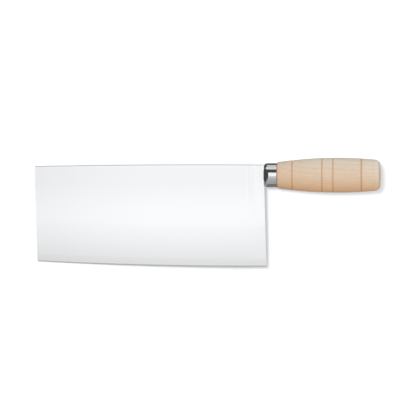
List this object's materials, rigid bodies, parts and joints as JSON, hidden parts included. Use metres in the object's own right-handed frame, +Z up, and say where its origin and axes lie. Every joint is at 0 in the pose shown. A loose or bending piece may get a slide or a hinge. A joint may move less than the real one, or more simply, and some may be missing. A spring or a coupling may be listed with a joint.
{
  "type": "kitchen knife",
  "caption": "Cleaver-style kitchen knife lying on its side: broad blade with a slowly curved edge, round steel ferrule and a turned wooden handle with burnt rings.",
  "frame": {"origin": "centre of the bounding box on the surface that the knife lies on, z = 0", "axes": "+X from the blade towards the butt of the handle, +Y from the edge towards the spine, +Z up from the surface. The knife rests on the handle's belly and the tip end of the blade, so its own length is pitched butt up by 3.19 degrees about Y."},
  "size_m": [0.3148, 0.0988, 0.0327],
  "materials": {
    "blade_steel": "fine satin grind",
    "tang_steel": "plain drawn rod, hammered at the butt",
    "ferrule_steel": "polished",
    "resin": "cast",
    "handle_wood": "fine sanded, barely waxed",
    "washer_steel": "bright stamped"
  },
  "bodies": {
    "root": {"blade": "blade_steel", "tang": "tang_steel", "ferrule": "ferrule_steel", "ferrule_seal": "resin", "handle": "handle_wood", "tang_bedding": "resin", "butt_washer": "washer_steel"}
  },
  "joints": []
}
